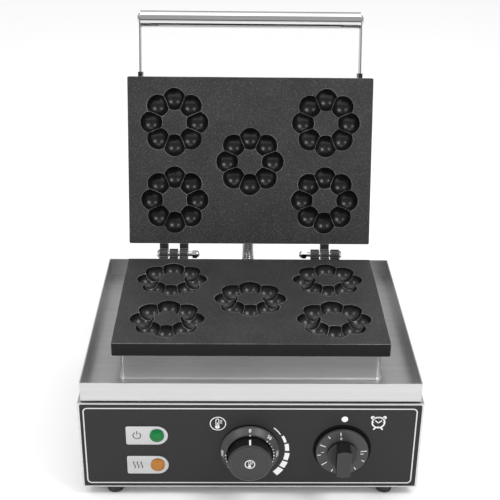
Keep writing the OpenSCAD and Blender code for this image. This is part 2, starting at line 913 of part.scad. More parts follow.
module cap_nut(side) {
    inner_x = hinge_x - lug_pitch - lug_w / 2 - bolt_shank_free;
    mirror([side < 0 ? 0 : 1, 0, 0]) translate([-inner_x, 0, 0]) rotate([0, 90, 0]) difference() {
        union() {
            intersection() {
                hexagon(10, nut_t);
                translate([0, 0, -1]) cylinder(r1 = 7, r2 = 5, h = nut_t + 3);
            }
            translate([0, 0, nut_t]) dome(4.6, 3.6);
        }
        translate([0, 0, -1]) cylinder(r = pin_r, h = nut_t + 1);
    }
}

module left_hinge_bolt() {
    color("silver") on_lid() hinge_bolt(-1);
}

module right_hinge_bolt() {
    color("silver") in_frame() translate([0, axis_y, axis_z]) hinge_bolt(1);
}

module left_cap_nut() {
    color("silver") on_lid() cap_nut(-1);
}

module right_cap_nut() {
    color("silver") in_frame() translate([0, axis_y, axis_z]) cap_nut(1);
}

// Handle ------------------------------------------------------------------------------------------

// One strip of the handle, from its clip on the cover to the end of the bar.
module handle_arm(side) {
    root_y = -cover_front - clip_ear_t;
    translate([side * arm_x - arm_t / 2, 0, 0]) rotate([90, 0, 90]) linear_extrude(arm_t) difference() {
        union() {
            polygon([[root_y, handle_z - arm_root_w / 2], [root_y, handle_z + arm_root_w / 2],
                [-handle_reach, handle_z + arm_tip_r], [-handle_reach, handle_z - arm_tip_r]]);
            translate([-handle_reach, handle_z]) circle(arm_tip_r);
        }
        translate([-handle_reach, handle_z]) circle(pin_r);
        translate([-cover_front - clip_pin_y, handle_z]) circle(clip_pin_r);
    }
}

// A slotted block that holds a strip, with an ear inwards for its two screws.
module handle_clip(side) {
    mirror([side < 0 ? 1 : 0, 0, 0]) translate([arm_x, -cover_front, handle_z]) difference() {
        union() {
            box_at([-clip_w / 2, -clip_out, -clip_h / 2], [clip_w / 2, 0, clip_h / 2]);
            box_at([-clip_ear, -clip_ear_t, -clip_h / 2], [0, 0, clip_h / 2]);
        }
        box_at([-arm_t / 2, -clip_out - 1, -arm_root_w / 2], [arm_t / 2, -clip_ear_t, arm_root_w / 2]);
        along_x(-5) translate([0, -clip_pin_y, 0]) cylinder(r = clip_pin_r, h = 10);
        for (z = [-1, 1])
            translate([-clip_screw_x, 1, z * clip_screw_z]) rotate([90, 0, 0])
                cylinder(r = 1.8, h = 4);
    }
}

module at_clip_screws() {
    for (side = [-1, 1], z = [-1, 1])
        translate([side * (arm_x - clip_screw_x), -cover_front, handle_z + z * clip_screw_z])
            rotate([90, 0, 0]) children();
}

module clip_screws() {
    color("silver") on_lid() {
        at_clip_screws() translate([0, 0, clip_ear_t]) screw(3.2, 1.8, 1.75, 6);
        for (side = [-1, 1])
            translate([side * arm_x, -cover_front - clip_pin_y, handle_z]) along_x(-clip_w / 2)
                cylinder(r = clip_pin_r, h = clip_w);
    }
}

module left_handle_arm() {
    color(steel_grey) on_lid() handle_arm(-1);
}

module right_handle_arm() {
    color(steel_grey) on_lid() handle_arm(1);
}

module left_handle_clip() {
    color(panel_black) on_lid() handle_clip(-1);
}

module right_handle_clip() {
    color(panel_black) on_lid() handle_clip(1);
}

module on_handle_axis() {
    on_lid() translate([0, -handle_reach, handle_z]) children();
}

module handle_bar() {
    color("silver") on_handle_axis() along_x(-tube_half) difference() {
        cylinder(r = handle_dia / 2, h = 2 * tube_half);
        translate([0, 0, -1]) cylinder(r = handle_dia / 2 - tube_wall, h = 2 * tube_half + 2);
    }
}

// Threaded plugs in the ends of the bar.
module bar_plugs() {
    plug_l = 16;
    color("silver") on_handle_axis() for (side = [0, 1])
        mirror([side, 0, 0]) along_x(-tube_half) difference() {
            cylinder(r = handle_dia / 2 - tube_wall, h = plug_l);
            translate([0, 0, -1]) cylinder(r = pin_r, h = plug_l);
        }
}

module handle_bolts() {
    color("silver") on_handle_axis() for (side = [0, 1])
        mirror([side, 0, 0]) translate([-arm_x - arm_t / 2, 0, 0]) rotate([0, -90, 0])
            screw(7.3, 3, pin_r - 0.02, 14);
}

// Supply and wiring inside the body --------------------------------------------------------------

// The gland through which the supply cord enters, with its lock nut inside the rear wall.
module inlet_gland() {
    color([0.1, 0.1, 0.1]) in_frame() translate([inlet_x, box_d, box_z + inlet_z]) rotate([-90, 0, 0])
        difference() {
            union() {
                hexagon(22, 5);
                cylinder(r = 9.5, h = 12);
                translate([0, 0, 12]) cylinder(r1 = 9.5, r2 = 7, h = 4);
                translate([0, 0, -10]) cylinder(r = inlet_r - 0.1, h = 11);
            }
            translate([0, 0, -11]) cylinder(r = 4, h = 30);
        }
}

module inlet_nut() {
    color([0.1, 0.1, 0.1]) in_frame()
        translate([inlet_x, box_d - sheet, box_z + inlet_z]) rotate([90, 0, 0]) difference() {
            hexagon(22, 4.5);
            translate([0, 0, -1]) cylinder(r = inlet_r - 0.1, h = 8);
        }
}

module terminal_block() {
    color("ivory") in_frame() difference() {
        box_at([-22, terminal_y - 12, box_z], [22, terminal_y + 12, box_z + terminal_top]);
        for (x = [temperature_x - 11.5, 0, 12.5]) {
            translate([x, terminal_y, box_z + terminal_top - 12]) cylinder(r = 3, h = 20);
            for (side = [-1, 1])
                translate([x, terminal_y + side * 16, tie_z]) rotate([90, 0, 0])
                    translate([0, 0, -6]) cylinder(r = 2.5, h = 12);
        }
    }
}

module earth_stud() {
    color("gold") in_frame() translate([-60, terminal_y, box_z]) {
        cylinder(r = 2.5, h = 16);
        hexagon(8, 4);
        translate([0, 0, 6]) hexagon(8, 3.5);
    }
}

// Live: inlet, terminals, thermostat, timer, the lower heater's front end and both lamps.
module live_wires() {
    z = box_z + inlet_z;
    shelf_z = box_z + 66;
    feed_x = temperature_x - 11.5;
    lamp_in_x = lamp_x - 2.5;
    color([0.35, 0.2, 0.1]) in_frame() {
        wire([[inlet_x - 2, gland_inner_y, z], [inlet_x - 2, 280, z], [feed_x, 280, z],
            [feed_x, 280, tie_z], [feed_x, terminal_y + 10, tie_z]]);
        wire([[feed_x, terminal_y - 10, tie_z], [feed_x, 60, tie_z], [feed_x, 60, tab_z],
            [feed_x, tab_y, tab_z]]);
        wire([[temperature_x + 11.5, tab_y, tab_z], [temperature_x + 11.5, 56, tab_z],
            [timer_x - 14, 56, timer_tab_z], [timer_x - 14, tab_y, timer_tab_z]]);
        wire([[timer_x + 14, tab_y, timer_tab_z], [timer_x + 14, 70, timer_tab_z],
            [timer_x + 14, 70, shelf_z], [heater_pin_x, 70, shelf_z],
            [heater_pin_x, plate_mid_y - 2.5, shelf_z], [heater_pin_x, plate_mid_y - 2.5, lead_z],
            [heater_pin_x, plate_mid_y - 60, lead_z], [heater_pin_x, plate_mid_y - 60, pin_end_z]]);
        wire([[lamp_in_x, lamp_tab_y, box_z + power_lamp_z], [lamp_in_x, 52, box_z + power_lamp_z],
            [lamp_in_x, 52, box_z + 78], [temperature_x, 52, box_z + 78],
            [temperature_x, 52, tab_z], [temperature_x, tab_y, tab_z]]);
        wire([[lamp_in_x, lamp_tab_y, box_z + heat_lamp_z], [lamp_in_x, 50, box_z + heat_lamp_z],
            [lamp_in_x, 50, box_z + 16], [timer_x, 50, box_z + 16], [timer_x, 50, timer_tab_z],
            [timer_x, tab_y, timer_tab_z]]);
    }
}

// Neutral: inlet, terminals, the lower heater's rear end and both lamps.
module neutral_wires() {
    z = box_z + inlet_z;
    lamp_out_x = lamp_x + 2.5;
    color([0.15, 0.3, 0.65]) in_frame() {
        wire([[inlet_x + 2, gland_inner_y, z], [inlet_x + 2, 288, z], [0, 288, z],
            [0, 288, tie_z], [0, terminal_y + 10, tie_z]]);
        wire([[0, terminal_y - 10, tie_z], [0, 210, tie_z], [0, 210, tie_z + 8],
            [lamp_out_x, 210, tie_z + 8], [lamp_out_x, 60, tie_z + 8],
            [lamp_out_x, 60, box_z + power_lamp_z + 1.5],
            [lamp_out_x, lamp_tab_y, box_z + power_lamp_z + 1.5]]);
        wire([[lamp_out_x, lamp_tab_y, box_z + power_lamp_z - 1.5],
            [lamp_out_x, 42, box_z + power_lamp_z - 1.5], [lamp_out_x, 42, box_z + heat_lamp_z],
            [lamp_out_x, lamp_tab_y, box_z + heat_lamp_z]]);
        wire([[12.5, terminal_y - 10, tie_z], [12.5, 190, tie_z], [12.5, 190, tie_z + 14],
            [heater_pin_x, 190, tie_z + 14], [heater_pin_x, plate_mid_y + 2.5, tie_z + 14],
            [heater_pin_x, plate_mid_y + 2.5, lead_z], [heater_pin_x, plate_mid_y + 60, lead_z],
            [heater_pin_x, plate_mid_y + 60, pin_end_z]], slim_wire_r);
    }
}

module earth_wire() {
    z = box_z + inlet_z - 3;
    stud_z = box_z + 12;
    color([0.5, 0.65, 0.1]) in_frame()
        wire([[inlet_x, gland_inner_y, z], [inlet_x, 270, z], [inlet_x, 270, stud_z],
            [-60, 270, stud_z], [-60, terminal_y + 2.5, stud_z]]);
}

body_shell();
front_panel();
panel_overlay();
bottom_plate();
bottom_screws();
rubber_feet();
foot_screws();
drip_tray();
tray_grommets();
plate_skirt();
lower_plate();
lower_heater();
lower_clamp_plate();
lower_insulation();
lower_pillars();
pillar_screws();
thermostat_sensor();
thermostat_body();
timer_body();
switch_screws();
temperature_bezel();
power_label();
heat_label();
power_lens();
heat_lens();
lamp_bodies();
inlet_gland();
inlet_nut();
terminal_block();
earth_stud();
live_wires();
neutral_wires();
earth_wire();
body_gland();
conduit();
right_hinge_bolt();
right_cap_nut();
upper_plate();
upper_cover();
upper_heater();
upper_clamp_plate();
upper_insulation();
cover_screws();
lid_gland();
lid_leads();
left_hinge_bolt();
left_cap_nut();
left_handle_arm();
right_handle_arm();
left_handle_clip();
right_handle_clip();
clip_screws();
handle_bar();
bar_plugs();
handle_bolts();
temperature_grip();
thermostat_shaft();
timer_dial();
timer_grip();
timer_shaft();
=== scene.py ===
"""Looks of a ball-ring donut maker: materials, printed marks, corrugated conduit, light and camera."""
import json
import math

import bmesh
import bpy
from mathutils import Matrix, Vector


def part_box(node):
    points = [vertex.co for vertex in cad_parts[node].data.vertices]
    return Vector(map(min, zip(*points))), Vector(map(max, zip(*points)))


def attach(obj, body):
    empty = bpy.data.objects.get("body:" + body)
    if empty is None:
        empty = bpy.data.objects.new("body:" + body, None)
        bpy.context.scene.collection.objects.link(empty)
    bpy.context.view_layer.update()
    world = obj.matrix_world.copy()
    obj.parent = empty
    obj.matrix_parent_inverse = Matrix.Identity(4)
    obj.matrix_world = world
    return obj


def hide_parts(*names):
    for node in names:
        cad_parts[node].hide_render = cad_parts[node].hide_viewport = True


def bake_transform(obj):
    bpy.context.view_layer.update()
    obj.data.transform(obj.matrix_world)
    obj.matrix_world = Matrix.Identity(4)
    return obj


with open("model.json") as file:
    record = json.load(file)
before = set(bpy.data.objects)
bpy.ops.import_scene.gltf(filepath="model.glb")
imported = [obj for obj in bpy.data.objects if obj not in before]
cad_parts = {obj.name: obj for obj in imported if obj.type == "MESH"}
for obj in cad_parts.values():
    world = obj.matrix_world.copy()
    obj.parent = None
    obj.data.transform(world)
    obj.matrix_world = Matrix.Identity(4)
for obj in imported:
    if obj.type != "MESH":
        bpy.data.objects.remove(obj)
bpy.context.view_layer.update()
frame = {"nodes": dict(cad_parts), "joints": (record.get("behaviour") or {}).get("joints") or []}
NODES = frame["nodes"]

MM = 0.001
LID_JOINT = next(joint for joint in frame["joints"] if joint["name"] == "lid_hinge")
PIVOT = Vector(LID_JOINT["pos_m"])
LEAN = math.radians(LID_JOINT["range_deg"][1] - 90)
LID_OUT = Vector((0, math.cos(LEAN), -math.sin(LEAN)))
HALF_GAP = 0.4

FRONT_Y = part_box("front_panel")[0].y
BOTTOM_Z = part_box("front_panel")[0].z
OVERLAY_FACE = 0.5
BEZEL_TOP = OVERLAY_FACE + 9.5
BEZEL_FOOT = OVERLAY_FACE + 2.5
LABEL_FACE = OVERLAY_FACE + 0.8
DIAL_FACE = 5.5
KNOB_Z = 50
TEMPERATURE_X = -1
TIMER_X = 99
LAMP_X = -100.8
POWER_LAMP_Z = 69.6
HEAT_LAMP_Z = 30.9


# Camera ---------------------------------------------------------------------------------

def make_camera():
    """The photograph's viewing angle, solved from its perspective: in front and above, looking down."""
    yaw, pitch, roll = math.radians(1.101), math.radians(26.371), math.radians(0.77)
    forward = Vector((math.sin(yaw) * math.cos(pitch), math.cos(yaw) * math.cos(pitch), -math.sin(pitch)))
    right = Vector((math.cos(yaw), -math.sin(yaw), 0))
    up = right.cross(forward)
    across = right * math.cos(roll) + up * math.sin(roll)
    upward = up * math.cos(roll) - right * math.sin(roll)
    turn = Matrix((across, upward, -forward)).transposed().to_4x4()
    place = Vector((-0.01779, FRONT_Y - 0.92368, BOTTOM_Z + 0.73432))
    data = bpy.data.cameras.new("camera")
    data.sensor_width = 36
    data.lens = 75.17
    data.shift_x = -0.0062
    data.shift_y = 0.0258
    data.clip_start = 0.01
    data.clip_end = 50
    camera = bpy.data.objects.new("camera", data)
    camera.matrix_world = Matrix.Translation(place) @ turn
    bpy.context.scene.collection.objects.link(camera)
    bpy.context.scene.camera = camera


make_camera()


# Shader helpers ---------------------------------------------------------------------------

class Shade:
    """A material being built: a Principled shader and short calls for the nodes that feed it."""

    def __init__(self, name, **constants):
        self.material = bpy.data.materials.new(name)
        self.material.use_nodes = True
        self.tree = self.material.node_tree
        self.tree.nodes.clear()
        self.shader = self.tree.nodes.new("ShaderNodeBsdfPrincipled")
        output = self.tree.nodes.new("ShaderNodeOutputMaterial")
        self.tree.links.new(self.shader.outputs["BSDF"], output.inputs["Surface"])
        for socket, value in constants.items():
            self.shader.inputs[socket.replace("_", " ")].default_value = value

    def add(self, kind, links=None, values=None, **settings):
        made = self.tree.nodes.new(kind)
        for key, value in settings.items():
            setattr(made, key, value)
        for key, value in (values or {}).items():
            made.inputs[key].default_value = value
        for key, socket in (links or {}).items():
            self.tree.links.new(socket, made.inputs[key])
        return made

    def position(self, stretch=(1, 1, 1), turn=(0, 0, 0)):
        coordinates = self.add("ShaderNodeTexCoord").outputs["Object"]
        mapping = self.add("ShaderNodeMapping", {"Vector": coordinates}, {"Scale": stretch, "Rotation": turn})
        return mapping.outputs["Vector"]

    def noise(self, scale, stretch=(1, 1, 1), detail=3, roughness=0.5, turn=(0, 0, 0)):
        links = {"Vector": self.position(stretch, turn)}
        values = {"Scale": scale, "Detail": detail, "Roughness": roughness}
        return self.add("ShaderNodeTexNoise", links, values).outputs["Fac"]

    def spread(self, value, low, high, start=0.0, end=1.0):
        values = {"From Min": start, "From Max": end, "To Min": low, "To Max": high}
        return self.add("ShaderNodeMapRange", {"Value": value}, values).outputs["Result"]

    def maths(self, operation, first, second):
        made = self.add("ShaderNodeMath", operation=operation)
        for slot, term in enumerate((first, second)):
            if isinstance(term, (int, float)):
                made.inputs[slot].default_value = term
            else:
                self.tree.links.new(term, made.inputs[slot])
        return made.outputs["Value"]

    def blend(self, factor, dark, light):
        made = self.add("ShaderNodeMix", {"Factor": factor}, data_type="RGBA")
        for slot, colour in ((6, dark), (7, light)):
            if isinstance(colour, tuple):
                made.inputs[slot].default_value = (*colour, 1)
            else:
                self.tree.links.new(colour, made.inputs[slot])
        return made.outputs[2]

    def bump(self, height, depth_mm, normal=None):
        links = {"Height": height}
        if normal is not None:
            links["Normal"] = normal
        values = {"Strength": 1.0, "Distance": depth_mm * MM}
        return self.add("ShaderNodeBump", links, values).outputs["Normal"]

    def edges(self, radius_mm):
        """One along sharp edges and ridges, nought elsewhere."""
        eased = self.add("ShaderNodeBevel", values={"Radius": radius_mm * MM}, samples=8).outputs["Normal"]
        plain = self.add("ShaderNodeNewGeometry").outputs["Normal"]
        agreement = self.add("ShaderNodeVectorMath", {0: eased, 1: plain}, operation="DOT_PRODUCT")
        return self.spread(agreement.outputs["Value"], 1, 0, 0.8, 0.97)

    def facing(self, direction):
        """How squarely the surface faces along a direction, from nought to one."""
        normal = self.add("ShaderNodeNewGeometry").outputs["Normal"]
        squarely = self.add("ShaderNodeVectorMath", {0: normal}, {1: direction}, operation="DOT_PRODUCT")
        return self.spread(squarely.outputs["Value"], 0, 1, 0.3, 0.9)

    def feed(self, socket, value):
        self.tree.links.new(value, self.shader.inputs[socket])


def shaded(colour, share):
    return tuple(max(0.0, min(1.0, part * share)) for part in colour)


def grained(name, colour, roughness, grain_mm, depth_mm, mottle=0.1, **constants):
    """A moulded, cast or plated surface: fine grain, faint large mottling and uneven gloss."""
    shade = Shade(name, **constants)
    grain = shade.noise(1 / (grain_mm * MM), detail=4)
    patches = shade.noise(28, detail=5, roughness=0.6)
    mixed = shade.maths("ADD", shade.maths("MULTIPLY", grain, 0.45), shade.maths("MULTIPLY", patches, 0.55))
    shade.feed("Base Color", shade.blend(shade.spread(mixed, 0, 1, 0.3, 0.7), shaded(colour, 1 - mottle),
                                         shaded(colour, 1 + mottle)))
    shade.feed("Roughness", shade.spread(mixed, roughness[0], roughness[1], 0.3, 0.7))
    shade.feed("Normal", shade.bump(grain, depth_mm))
    return shade.material


def brushed(name, colour, along, roughness=(0.24, 0.4), fold_highlight=0.0, **constants):
    """Brushed sheet: hairlines that run along one axis, broader bands, handling marks and, where asked for, a
    painted highlight along folds and edges.
    """
    shade = Shade(name, Metallic=1.0, **constants)
    across = {"x": (12, 900, 900), "y": (900, 12, 900), "z": (900, 900, 12)}[along]
    broader = tuple(part / 7 for part in across)
    hairs = shade.noise(3.0, across, detail=5, roughness=0.7)
    bands = shade.noise(1.0, broader, detail=3, roughness=0.6)
    marks = shade.noise(16, detail=6, roughness=0.65)
    lines = shade.maths("ADD", shade.maths("MULTIPLY", hairs, 0.6), shade.maths("MULTIPLY", bands, 0.4))
    tone = shade.blend(shade.spread(lines, 0, 1, 0.3, 0.7), shaded(colour, 0.86), shaded(colour, 1.1))
    # Painted highlight: a near-white line along sharp edges, folds and joints.
    if fold_highlight:
        tone = shade.blend(shade.maths("MULTIPLY", shade.edges(0.8), fold_highlight), tone, (0.95, 0.95, 0.95))
    shade.feed("Base Color", tone)
    worn = shade.maths("ADD", shade.maths("MULTIPLY", lines, 0.6), shade.maths("MULTIPLY", marks, 0.4))
    shade.feed("Roughness", shade.spread(worn, roughness[0], roughness[1], 0.32, 0.68))
    shade.feed("Normal", shade.bump(hairs, 0.012))
    return shade.material


def polished(name, colour, roughness=(0.05, 0.14), **constants):
    """Bright plating with faint smears that only show in its gloss."""
    shade = Shade(name, Metallic=1.0, **constants)
    smears = shade.noise(70, detail=6, roughness=0.65)
    scratches = shade.noise(6, (20, 400, 400), detail=5)
    mixed = shade.maths("ADD", shade.maths("MULTIPLY", smears, 0.6), shade.maths("MULTIPLY", scratches, 0.4))
    shade.feed("Base Color", shade.blend(mixed, shaded(colour, 0.92), shaded(colour, 1.04)))
    shade.feed("Roughness", shade.spread(mixed, roughness[0], roughness[1], 0.35, 0.65))
    shade.feed("Normal", shade.bump(scratches, 0.002))
    return shade.material


def non_stick(name, inward):
    """Speckled non-stick coating: matt on the land and glossy in the moulds, with painted shade darkening the
    moulds and side walls and a painted highlight on the ridges and rims.
    """
    shade = Shade(name, Specular_IOR_Level=0.4)
    place = shade.add("ShaderNodeTexCoord")
    from_plane = shade.add("ShaderNodeVectorMath", {0: place.outputs["Object"]}, {1: tuple(inward)},
                           operation="DOT_PRODUCT")
    tilt = shade.add("ShaderNodeVectorMath", {0: place.outputs["Normal"]}, {1: tuple(inward)},
                     operation="DOT_PRODUCT")
    depth = shade.maths("SUBTRACT", from_plane.outputs["Value"], PIVOT.dot(inward) + HALF_GAP * MM)
    below = shade.spread(depth, 0, 1, 0.1 * MM, 0.5 * MM)
    wall = shade.spread(shade.maths("ABSOLUTE", tilt.outputs["Value"], 0), 1, 0, 0.02, 0.03)
    hollow = shade.maths("MULTIPLY", below, shade.maths("SUBTRACT", 1, wall))
    side = shade.maths("MULTIPLY", below, wall)
    flecks = shade.add("ShaderNodeTexVoronoi", {"Vector": shade.position()}, {"Scale": 420}, feature="F1")
    dots = shade.spread(flecks.outputs["Distance"], 1, 0, 0.1, 0.4)
    grit = shade.noise(760, detail=5, roughness=0.75)
    haze = shade.noise(24, detail=5, roughness=0.6)
    land = shade.blend(shade.spread(haze, 0, 1, 0.3, 0.7), (0.022, 0.022, 0.022), (0.036, 0.036, 0.036))
    land = shade.blend(shade.maths("MULTIPLY", dots, 0.6), land, (0.12, 0.12, 0.12))
    land = shade.blend(shade.spread(grit, 0, 0.85, 0.45, 0.62), land, (0.006, 0.006, 0.006))
    # Painted shade: the moulds and the side walls take near-black colours, darker than the land.
    shaded_mould = shade.blend(shade.spread(grit, 0, 1, 0.3, 0.7), (0.003, 0.003, 0.003), (0.008, 0.008, 0.008))
    shaded_side = shade.blend(shade.spread(grit, 0, 1, 0.3, 0.7), (0.001, 0.001, 0.001), (0.012, 0.012, 0.012))
    colour = shade.blend(side, shade.blend(hollow, land, shaded_mould), shaded_side)
    # Painted highlight: a light grey line along the ridges and rims, patchy with the haze.
    ridge_highlight = shade.maths("MULTIPLY", shade.edges(0.8), shade.spread(haze, 0.4, 1.0, 0.4, 0.6))
    shade.feed("Base Color", shade.blend(ridge_highlight, colour, (0.48, 0.48, 0.48)))
    gloss = shade.maths("ADD", shade.spread(hollow, 0.5, 0.28), shade.maths("MULTIPLY", side, 0.3))
    shade.feed("Roughness", shade.maths("MULTIPLY", gloss, shade.spread(grit, 0.8, 1.2, 0.3, 0.7)))
    shade.feed("Normal", shade.bump(grit, 0.06))
    return shade.material


def knurled(name, centre_x, centre_z, front, side, ribs=64):
    """A knob's plastic: satin in front and finely ribbed all round its side, with painted shade making the
    side near-black and a painted highlight along its edges.
    """
    shade = Shade(name, Specular_IOR_Level=0.35)
    grain = shade.noise(3200, detail=4)
    patches = shade.noise(60, detail=5, roughness=0.6)
    faced = shade.facing((0, -1, 0))
    split = shade.add("ShaderNodeSeparateXYZ", {"Vector": shade.position()})
    across = shade.maths("SUBTRACT", split.outputs["X"], centre_x)
    above = shade.maths("SUBTRACT", split.outputs["Z"], centre_z)
    turn = shade.maths("MULTIPLY", shade.maths("ARCTAN2", across, above), ribs)
    wave = shade.maths("SINE", turn, 0)
    waves = shade.maths("MULTIPLY", wave, shade.maths("SUBTRACT", 1, faced))
    satin = shade.blend(shade.spread(patches, 0, 1, 0.3, 0.7), shaded(front, 0.88), shaded(front, 1.12))
    # Painted shade: surfaces turned away from the front take the near-black side colour.
    lit = shade.blend(faced, side, satin)
    # Painted highlight: a light grey line along the knob's edges and rims.
    rim_highlight = shade.maths("MULTIPLY", shade.edges(0.6), 0.7)
    shade.feed("Base Color", shade.blend(rim_highlight, lit, (0.16, 0.16, 0.16)))
    shade.feed("Roughness", shade.spread(patches, 0.38, 0.52, 0.3, 0.7))
    shade.feed("Normal", shade.bump(waves, 0.12, shade.bump(grain, 0.02)))
    return shade.material


def lens_plastic(name, colour):
    """Coloured lens with a moulded grid of small pyramids and a dark rim."""
    shade = Shade(name, Specular_IOR_Level=0.2, Coat_Weight=0.12, Coat_Roughness=0.05)
    cells = shade.add("ShaderNodeTexVoronoi", {"Vector": shade.position()},
                      {"Scale": 620, "Randomness": 0.15}, feature="F1", distance="CHEBYCHEV")
    facets = cells.outputs["Distance"]
    smoke = shade.noise(260, detail=3)
    lit = shade.maths("ADD", shade.maths("MULTIPLY", facets, 0.7), shade.maths("MULTIPLY", smoke, 0.3))
    tone = shade.blend(shade.spread(lit, 0, 1, 0.2, 0.7), shaded(colour, 1.0), shaded(colour, 0.4))
    shade.feed("Base Color", shade.blend(shade.edges(1.0), tone, shaded(colour, 0.12)))
    shade.feed("Roughness", shade.spread(smoke, 0.1, 0.2, 0.3, 0.7))
    shade.feed("Normal", shade.bump(facets, 0.12))
    return shade.material


def fibrous(name, colour, stretch, depth_mm):
    """Felted or braided fibre."""
    shade = Shade(name, Sheen_Weight=0.3)
    fibres = shade.noise(500, stretch, detail=6, roughness=0.7)
    tufts = shade.noise(90, detail=5, roughness=0.7)
    mixed = shade.maths("ADD", shade.maths("MULTIPLY", fibres, 0.6), shade.maths("MULTIPLY", tufts, 0.4))
    shade.feed("Base Color", shade.blend(mixed, shaded(colour, 0.7), shaded(colour, 1.1)))
    shade.feed("Roughness", shade.spread(mixed, 0.8, 1.0))
    shade.feed("Normal", shade.bump(mixed, depth_mm))
    return shade.material


STEEL = (0.56, 0.56, 0.565)
LOOKS = {
    # The number after each steel's roughness is the strength of its painted highlight along edges and folds.
    "tray_steel": brushed("tray_steel", (0.57, 0.57, 0.575), "x", (0.26, 0.42), 0.8),
    "shell_steel": brushed("shell_steel", STEEL, "z", (0.24, 0.4), 0.6),
    "cover_steel": brushed("cover_steel", (0.55, 0.55, 0.555), "x", (0.24, 0.4), 0.6),
    "skirt_steel": brushed("skirt_steel", (0.80, 0.80, 0.80), "x", (0.34, 0.48), 0.9),
    "panel_silver": brushed("panel_silver", (0.62, 0.62, 0.625), "x", (0.28, 0.4)),
    "strip_steel": brushed("strip_steel", (0.36, 0.36, 0.365), "z", (0.2, 0.34)),
    "overlay_black": grained("overlay_black", (0.017, 0.017, 0.0175), (0.42, 0.56), 0.35, 0.02, 0.08,
                             Specular_IOR_Level=0.28),
    "shadow_black": grained("shadow_black", (0.003, 0.003, 0.003), (0.5, 0.65), 0.35, 0.02, 0.1,
                            Specular_IOR_Level=0.08),
    "lower_coating": non_stick("lower_coating", Vector((0, 0, -1))),
    "upper_coating": non_stick("upper_coating", LID_OUT),
    "heater_tube": grained("heater_tube", (0.22, 0.19, 0.17), (0.35, 0.55), 0.5, 0.02, 0.3, Metallic=1.0),
    "zinc": grained("zinc", (0.55, 0.55, 0.52), (0.3, 0.5), 1.5, 0.01, 0.12, Metallic=1.0),
    "wool": fibrous("wool", (0.72, 0.68, 0.55), (1, 1, 4), 0.6),
    "glass_braid": fibrous("glass_braid", (0.78, 0.76, 0.7), (1, 3, 1), 0.15),
    "bright_plate": polished("bright_plate", (0.74, 0.74, 0.75)),
    "bar_chrome": polished("bar_chrome", (0.66, 0.66, 0.67), (0.03, 0.08)),
    "hose_steel": polished("hose_steel", (0.62, 0.62, 0.63), (0.16, 0.28)),
    "rubber": grained("rubber", (0.018, 0.018, 0.018), (0.6, 0.8), 0.4, 0.05, 0.15),
    "silicone": grained("silicone", (0.42, 0.05, 0.03), (0.45, 0.6), 0.5, 0.02, 0.1),
    "copper": grained("copper", (0.72, 0.38, 0.22), (0.2, 0.4), 1.2, 0.01, 0.15, Metallic=1.0),
    "brass": grained("brass", (0.72, 0.55, 0.24), (0.2, 0.35), 0.8, 0.01, 0.12, Metallic=1.0),
    "phenolic": grained("phenolic", (0.05, 0.045, 0.04), (0.4, 0.55), 0.4, 0.03, 0.15),
    "nylon": grained("nylon", (0.66, 0.63, 0.55), (0.4, 0.55), 0.6, 0.02, 0.06),
    # Each knob's second colour is painted shade for its side.
    "grip_black": knurled("grip_black", TEMPERATURE_X * MM, BOTTOM_Z + KNOB_Z * MM, (0.034, 0.034, 0.035),
                          (0.004, 0.004, 0.004)),
    "bar_black": knurled("bar_black", TIMER_X * MM, BOTTOM_Z + KNOB_Z * MM, (0.030, 0.030, 0.031),
                         (0.006, 0.006, 0.006), 0),
    "bezel_grey": grained("bezel_grey", (0.052, 0.052, 0.054), (0.34, 0.48), 0.28, 0.02, 0.14,
                          Specular_IOR_Level=0.4),
    "dial_grey": grained("dial_grey", (0.050, 0.050, 0.052), (0.34, 0.48), 0.28, 0.02, 0.14,
                         Specular_IOR_Level=0.35),
    "clip_black": grained("clip_black", (0.012, 0.012, 0.012), (0.35, 0.5), 0.35, 0.03, 0.12,
                          Specular_IOR_Level=0.3),
    "label_foil": brushed("label_foil", (0.54, 0.54, 0.545), "x", (0.3, 0.42)),
    "green_lens": lens_plastic("green_lens", (0.002, 0.20, 0.048)),
    "amber_lens": lens_plastic("amber_lens", (0.50, 0.20, 0.035)),
    "white_ink": grained("white_ink", (0.80, 0.80, 0.79), (0.4, 0.55), 0.3, 0.01, 0.05),
    "silver_ink": grained("silver_ink", (0.62, 0.62, 0.62), (0.35, 0.5), 0.3, 0.01, 0.06),
    "label_ink": grained("label_ink", (0.03, 0.03, 0.032), (0.4, 0.55), 0.3, 0.01, 0.1),
    "brown_wire": grained("brown_wire", (0.16, 0.07, 0.03), (0.4, 0.5), 0.5, 0.01, 0.1),
    "blue_wire": grained("blue_wire", (0.04, 0.11, 0.36), (0.4, 0.5), 0.5, 0.01, 0.1),
    "green_wire": grained("green_wire", (0.2, 0.38, 0.03), (0.4, 0.5), 0.5, 0.01, 0.1),
}

